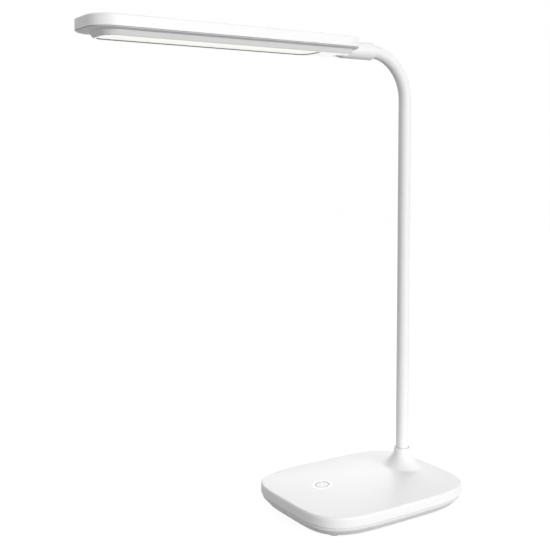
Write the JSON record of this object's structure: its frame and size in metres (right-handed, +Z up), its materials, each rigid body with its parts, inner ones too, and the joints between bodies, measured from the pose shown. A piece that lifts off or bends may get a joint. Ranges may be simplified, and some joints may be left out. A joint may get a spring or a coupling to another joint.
{
  "type": "desk lamp",
  "caption": "Folding desk lamp with a weighted pillow-shaped base, a round key, a bendable gooseneck stem and a long flat light head.",
  "frame": {"origin": "on the table plane, under the middle of the base", "axes": "+Z up from the table; the stem stands at +X and the head reaches out towards -X; +Y towards the lamp's far long side"},
  "size_m": [0.3312, 0.124, 0.397],
  "materials": {
    "white_satin_plastic": "satin",
    "pale_grey_plastic": "satin",
    "white_soft_sleeve": "soft matte silicone sleeve",
    "milky_diffuser": "matte opal",
    "white_reflector": "matte",
    "foot_rubber": "matte",
    "steel_plate": "rolled plate",
    "zinc_steel": "zinc plated",
    "gooseneck_steel": "wound steel wire",
    "clear_window": "frosted light pipe",
    "black_plastic": "moulded",
    "circuit_board": "solder mask",
    "white_board": "white solder mask",
    "led_phosphor": "phosphor dome",
    "wire_jacket": "two-wire jacket",
    "natural_nylon": "moulded"
  },
  "bodies": {
    "base": {"base_top_shell": "white_satin_plastic", "base_lower_pan": "pale_grey_plastic", "rubber_feet": "foot_rubber", "base_screws": "zinc_steel", "ballast_plate": "steel_plate", "tactile_switch": "black_plastic", "control_board": "circuit_board", "board_components": "black_plastic", "board_screws": "zinc_steel", "power_inlet": "black_plastic", "inlet_lead": "wire_jacket", "stem_ferrule": "zinc_steel", "stem_washer": "zinc_steel", "stem_nut": "zinc_steel", "stem_sleeve_1": "white_soft_sleeve", "stem_core_1": "gooseneck_steel", "stem_lead_1": "wire_jacket"},
    "key": {"key_cap": "white_satin_plastic", "key_light_pipe": "clear_window", "switch_plunger": "black_plastic"},
    "stem_2": {"stem_sleeve_2": "white_soft_sleeve", "stem_core_2": "gooseneck_steel", "stem_lead_2": "wire_jacket"},
    "stem_3": {"stem_sleeve_3": "white_soft_sleeve", "stem_core_3": "gooseneck_steel", "stem_lead_3": "wire_jacket"},
    "stem_4": {"stem_sleeve_4": "white_soft_sleeve", "stem_core_4": "gooseneck_steel", "stem_lead_4": "wire_jacket"},
    "stem_5": {"stem_sleeve_5": "white_soft_sleeve", "stem_core_5": "gooseneck_steel", "stem_lead_5": "wire_jacket"},
    "stem_6": {"stem_sleeve_6": "white_soft_sleeve", "stem_core_6": "gooseneck_steel", "stem_lead_6": "wire_jacket"},
    "stem_7": {"stem_sleeve_7": "white_soft_sleeve", "stem_core_7": "gooseneck_steel", "stem_lead_7": "wire_jacket"},
    "stem_8": {"stem_sleeve_8": "white_soft_sleeve", "stem_core_8": "gooseneck_steel", "stem_lead_8": "wire_jacket"},
    "stem_9": {"stem_sleeve_9": "white_soft_sleeve", "stem_core_9": "gooseneck_steel", "stem_lead_9": "wire_jacket"},
    "head": {"stem_sleeve_10": "white_soft_sleeve", "stem_core_10": "gooseneck_steel", "stem_lead_10": "wire_jacket", "neck_socket": "white_satin_plastic", "neck_ferrule": "zinc_steel", "socket_screws": "zinc_steel", "socket_grub_screw": "zinc_steel", "head_top_shell": "white_satin_plastic", "head_lower_tray": "pale_grey_plastic", "diffuser": "milky_diffuser", "reflector": "white_reflector", "led_board": "white_board", "led_chips": "led_phosphor", "led_board_screws": "zinc_steel", "head_connector": "natural_nylon"}
  },
  "joints": [
    {"name": "lean_1", "type": "hinge", "parent": "base", "child": "stem_2", "pos_m": [0.0465, 0, 0.085], "axis": [0, -1, 0], "range_deg": [-10, 10]},
    {"name": "sway_1", "type": "hinge", "parent": "stem_2", "child": "stem_3", "pos_m": [0.0465, 0, 0.135], "axis": [1, 0, 0], "range_deg": [-10, 10]},
    {"name": "lean_2", "type": "hinge", "parent": "stem_3", "child": "stem_4", "pos_m": [0.0465, 0, 0.185], "axis": [0, -1, 0], "range_deg": [-10, 10]},
    {"name": "sway_2", "type": "hinge", "parent": "stem_4", "child": "stem_5", "pos_m": [0.0465, 0, 0.235], "axis": [1, 0, 0], "range_deg": [-10, 10]},
    {"name": "curl_1", "type": "hinge", "parent": "stem_5", "child": "stem_6", "pos_m": [0.0465, 0, 0.285], "axis": [0, -1, 0], "range_deg": [-10, 15]},
    {"name": "curl_2", "type": "hinge", "parent": "stem_6", "child": "stem_7", "pos_m": [0.0465, 0, 0.3172], "axis": [0, -1, 0], "range_deg": [-10, 15]},
    {"name": "curl_3", "type": "hinge", "parent": "stem_7", "child": "stem_8", "pos_m": [0.0465, 0, 0.3494], "axis": [0, -1, 0], "range_deg": [-10, 15]},
    {"name": "curl_4", "type": "hinge", "parent": "stem_8", "child": "stem_9", "pos_m": [0.04182, 0, 0.36818], "axis": [0, -1, 0], "range_deg": [-10, 15]},
    {"name": "curl_5", "type": "hinge", "parent": "stem_9", "child": "head", "pos_m": [0.02887, 0, 0.38256], "axis": [0, -1, 0], "range_deg": [-10, 15]},
    {"name": "key_press", "type": "slide", "parent": "base", "child": "key", "axis": [0, 0, -1], "range_m": [0, 0.0007], "stiffness_N_per_m": 2500, "springref_m": -0.0002}
  ],
  "couplings": [
    {"joint": "lean_2", "follows": "lean_1", "ratio": 1},
    {"joint": "sway_2", "follows": "sway_1", "ratio": 1},
    {"joint": "curl_2", "follows": "curl_1", "ratio": 1},
    {"joint": "curl_3", "follows": "curl_1", "ratio": 1},
    {"joint": "curl_4", "follows": "curl_1", "ratio": 1},
    {"joint": "curl_5", "follows": "curl_1", "ratio": 1}
  ]
}
